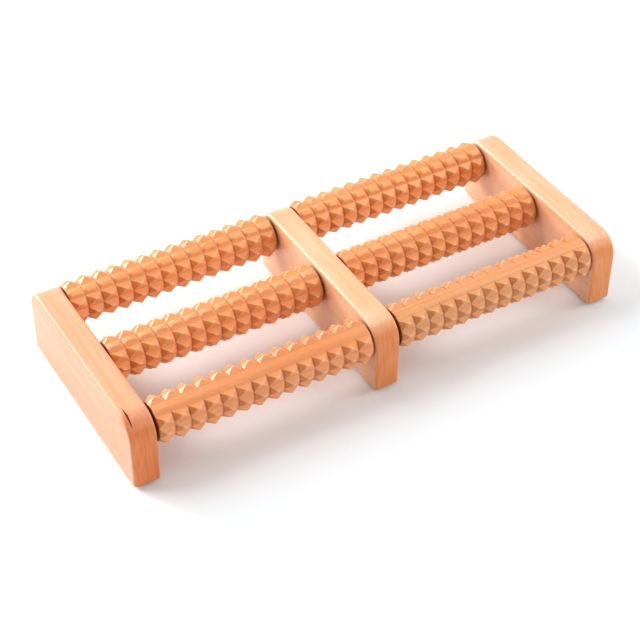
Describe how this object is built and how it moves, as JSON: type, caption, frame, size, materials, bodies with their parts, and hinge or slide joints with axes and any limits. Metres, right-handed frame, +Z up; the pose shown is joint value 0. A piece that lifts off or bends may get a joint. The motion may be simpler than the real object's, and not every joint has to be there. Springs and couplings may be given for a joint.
{
  "type": "foot massage roller",
  "caption": "Wooden foot massager: upright rails with rounded corners carry rows of turned, spiked rollers that spin freely on hidden steel rods.",
  "frame": {"origin": "on the surface it stands on, under the middle of its footprint", "axes": "+X along the rollers, from the left rail to the right rail; +Y from the front rollers to the back rollers; +Z up"},
  "size_m": [0.3, 0.1299, 0.0449],
  "materials": {
    "rail_wood": "satin clear coat",
    "roller_wood": "satin clear coat",
    "axle_steel": "bright drawn",
    "washer_steel": "zinc plated",
    "pad_rubber": "matt"
  },
  "bodies": {
    "frame": {"left_rail": "rail_wood", "middle_rail": "rail_wood", "right_rail": "rail_wood", "front_axle_rod": "axle_steel", "centre_axle_rod": "axle_steel", "back_axle_rod": "axle_steel", "front_left_outer_washer": "washer_steel", "front_left_inner_washer": "washer_steel", "front_right_outer_washer": "washer_steel", "front_right_inner_washer": "washer_steel", "centre_left_outer_washer": "washer_steel", "centre_left_inner_washer": "washer_steel", "centre_right_outer_washer": "washer_steel", "centre_right_inner_washer": "washer_steel", "back_left_outer_washer": "washer_steel", "back_left_inner_washer": "washer_steel", "back_right_outer_washer": "washer_steel", "back_right_inner_washer": "washer_steel", "left_rail_front_pad": "pad_rubber", "left_rail_back_pad": "pad_rubber", "middle_rail_front_pad": "pad_rubber", "middle_rail_back_pad": "pad_rubber", "right_rail_front_pad": "pad_rubber", "right_rail_back_pad": "pad_rubber"},
    "front_left_roller_body": {"front_left_roller": "roller_wood"},
    "front_right_roller_body": {"front_right_roller": "roller_wood"},
    "centre_left_roller_body": {"centre_left_roller": "roller_wood"},
    "centre_right_roller_body": {"centre_right_roller": "roller_wood"},
    "back_left_roller_body": {"back_left_roller": "roller_wood"},
    "back_right_roller_body": {"back_right_roller": "roller_wood"}
  },
  "joints": [
    {"name": "front_left_spin", "type": "hinge", "parent": "frame", "child": "front_left_roller_body", "pos_m": [-0.07125, -0.052, 0.032], "axis": [1, 0, 0], "continuous": true},
    {"name": "front_right_spin", "type": "hinge", "parent": "frame", "child": "front_right_roller_body", "pos_m": [0.07125, -0.052, 0.032], "axis": [1, 0, 0], "continuous": true},
    {"name": "centre_left_spin", "type": "hinge", "parent": "frame", "child": "centre_left_roller_body", "pos_m": [-0.07125, 0, 0.032], "axis": [1, 0, 0], "continuous": true},
    {"name": "centre_right_spin", "type": "hinge", "parent": "frame", "child": "centre_right_roller_body", "pos_m": [0.07125, 0, 0.032], "axis": [1, 0, 0], "continuous": true},
    {"name": "back_left_spin", "type": "hinge", "parent": "frame", "child": "back_left_roller_body", "pos_m": [-0.07125, 0.052, 0.032], "axis": [1, 0, 0], "continuous": true},
    {"name": "back_right_spin", "type": "hinge", "parent": "frame", "child": "back_right_roller_body", "pos_m": [0.07125, 0.052, 0.032], "axis": [1, 0, 0], "continuous": true}
  ]
}
